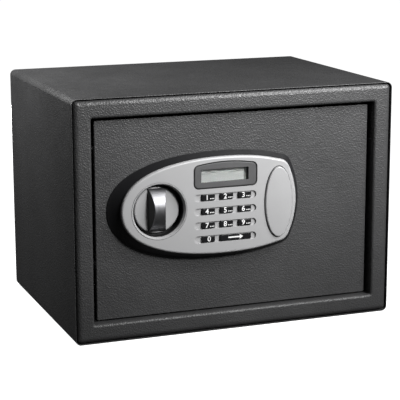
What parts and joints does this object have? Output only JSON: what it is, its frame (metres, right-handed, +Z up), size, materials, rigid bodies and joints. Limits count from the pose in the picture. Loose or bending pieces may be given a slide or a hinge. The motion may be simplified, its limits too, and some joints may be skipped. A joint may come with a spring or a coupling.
{
  "type": "in-room safe",
  "caption": "Compact electronic safe: steel cabinet, recessed hinged door with keypad, display and turning knob that throws two bolts, and an emergency lock behind an oval cover.",
  "frame": {"origin": "centre of the cabinet's bottom face", "axes": "+X to the right seen from the front, +Y from the door towards the back, +Z up"},
  "size_m": [0.35, 0.2582, 0.25],
  "materials": {
    "powder_coat": "dark grey textured powder coat",
    "zinc_steel": "zinc-plated steel",
    "polished_steel": "polished",
    "silver_plastic": "silver-painted, satin",
    "satin_metal": "satin",
    "black_plastic": "satin black",
    "key_plastic": "satin black with white figures",
    "grey_plastic": "satin grey",
    "clear_plastic": "clear",
    "display_cell": "pale grey liquid-crystal cell",
    "black_rubber": "matt",
    "circuit_board": "green solder resist",
    "brass": "turned",
    "copper_winding": "enamelled winding under clear tape",
    "red_plastic": "satin",
    "cell_wrap": "plain printed sleeve",
    "grey_felt": "needle felt"
  },
  "bodies": {
    "cabinet": {"body_shell": "powder_coat", "rear_panel": "powder_coat", "front_frame": "powder_coat", "floor_mat": "grey_felt", "hinge_washer": "brass"},
    "door": {"door_plate": "powder_coat", "door_box": "powder_coat", "lock_cover": "powder_coat", "cover_screw_1": "zinc_steel", "cover_screw_2": "zinc_steel", "cover_screw_3": "zinc_steel", "cover_screw_4": "zinc_steel", "hinge_pin_top": "powder_coat", "hinge_pin_bottom": "powder_coat", "panel_housing": "black_plastic", "panel_face": "silver_plastic", "knob_collar": "silver_plastic", "display_bezel": "grey_plastic", "display_lens": "clear_plastic", "display_lcd": "display_cell", "key_mat": "black_rubber", "circuit_board": "circuit_board", "panel_screw_left": "zinc_steel", "panel_screw_right": "zinc_steel", "guide_stud_lower": "zinc_steel", "guide_stud_upper": "zinc_steel", "solenoid_frame": "zinc_steel", "solenoid_coil": "copper_winding", "override_lock_body": "polished_steel", "battery_tray": "black_plastic", "battery_1": "cell_wrap", "battery_2": "cell_wrap", "battery_3": "cell_wrap", "battery_4": "cell_wrap"},
    "knob": {"knob": "satin_metal", "knob_spindle": "zinc_steel", "spindle_clip": "zinc_steel"},
    "bolts": {"bolt_carriage": "zinc_steel", "bolt_lower": "polished_steel", "bolt_upper": "polished_steel"},
    "plunger": {"solenoid_plunger": "polished_steel"},
    "override_cover": {"override_cover": "silver_plastic"},
    "override_plug": {"override_plug": "brass", "override_cam": "zinc_steel"},
    "battery_cover": {"battery_cover": "black_plastic"},
    "reset_button": {"reset_button": "red_plastic"},
    "key_1": {"key_1": "key_plastic"},
    "key_2": {"key_2": "key_plastic"},
    "key_3": {"key_3": "key_plastic"},
    "key_4": {"key_4": "key_plastic"},
    "key_5": {"key_5": "key_plastic"},
    "key_6": {"key_6": "key_plastic"},
    "key_7": {"key_7": "key_plastic"},
    "key_8": {"key_8": "key_plastic"},
    "key_9": {"key_9": "key_plastic"},
    "key_0": {"key_0": "key_plastic"},
    "key_start": {"key_start": "key_plastic"}
  },
  "joints": [
    {"name": "door_hinge", "type": "hinge", "parent": "cabinet", "child": "door", "pos_m": [0.14, -0.106, 0.125], "axis": [0, 0, 1], "range_deg": [0, 100]},
    {"name": "knob_turn", "type": "hinge", "parent": "door", "child": "knob", "pos_m": [-0.087, -0.124, 0.133], "axis": [0, -1, 0], "range_deg": [0, 90]},
    {"name": "bolt_throw", "type": "slide", "parent": "door", "child": "bolts", "axis": [-1, 0, 0], "range_m": [0, 0.018]},
    {"name": "plunger_lift", "type": "slide", "parent": "door", "child": "plunger", "axis": [0, 0, 1], "range_m": [0, 0.005]},
    {"name": "override_cover_pull", "type": "slide", "parent": "door", "child": "override_cover", "axis": [0, -1, 0], "range_m": [0, 0.025]},
    {"name": "override_lock_turn", "type": "hinge", "parent": "door", "child": "override_plug", "pos_m": [0.043, -0.12, 0.133], "axis": [0, 1, 0], "range_deg": [0, 90]},
    {"name": "battery_cover_slide", "type": "slide", "parent": "door", "child": "battery_cover", "axis": [-1, 0, 0], "range_m": [0, 0.062]},
    {"name": "reset_press", "type": "slide", "parent": "door", "child": "reset_button", "axis": [0, -1, 0], "range_m": [0, 0.002], "stiffness_N_per_m": 400},
    {"name": "key_1_press", "type": "slide", "parent": "door", "child": "key_1", "axis": [0, 1, 0], "range_m": [0, 0.0012], "stiffness_N_per_m": 400},
    {"name": "key_2_press", "type": "slide", "parent": "door", "child": "key_2", "axis": [0, 1, 0], "range_m": [0, 0.0012], "stiffness_N_per_m": 400},
    {"name": "key_3_press", "type": "slide", "parent": "door", "child": "key_3", "axis": [0, 1, 0], "range_m": [0, 0.0012], "stiffness_N_per_m": 400},
    {"name": "key_4_press", "type": "slide", "parent": "door", "child": "key_4", "axis": [0, 1, 0], "range_m": [0, 0.0012], "stiffness_N_per_m": 400},
    {"name": "key_5_press", "type": "slide", "parent": "door", "child": "key_5", "axis": [0, 1, 0], "range_m": [0, 0.0012], "stiffness_N_per_m": 400},
    {"name": "key_6_press", "type": "slide", "parent": "door", "child": "key_6", "axis": [0, 1, 0], "range_m": [0, 0.0012], "stiffness_N_per_m": 400},
    {"name": "key_7_press", "type": "slide", "parent": "door", "child": "key_7", "axis": [0, 1, 0], "range_m": [0, 0.0012], "stiffness_N_per_m": 400},
    {"name": "key_8_press", "type": "slide", "parent": "door", "child": "key_8", "axis": [0, 1, 0], "range_m": [0, 0.0012], "stiffness_N_per_m": 400},
    {"name": "key_9_press", "type": "slide", "parent": "door", "child": "key_9", "axis": [0, 1, 0], "range_m": [0, 0.0012], "stiffness_N_per_m": 400},
    {"name": "key_0_press", "type": "slide", "parent": "door", "child": "key_0", "axis": [0, 1, 0], "range_m": [0, 0.0012], "stiffness_N_per_m": 400},
    {"name": "key_start_press", "type": "slide", "parent": "door", "child": "key_start", "axis": [0, 1, 0], "range_m": [0, 0.0012], "stiffness_N_per_m": 400}
  ],
  "couplings": [
    {"joint": "knob_turn", "follows": "bolt_throw", "rad_per_m": 87.266}
  ]
}
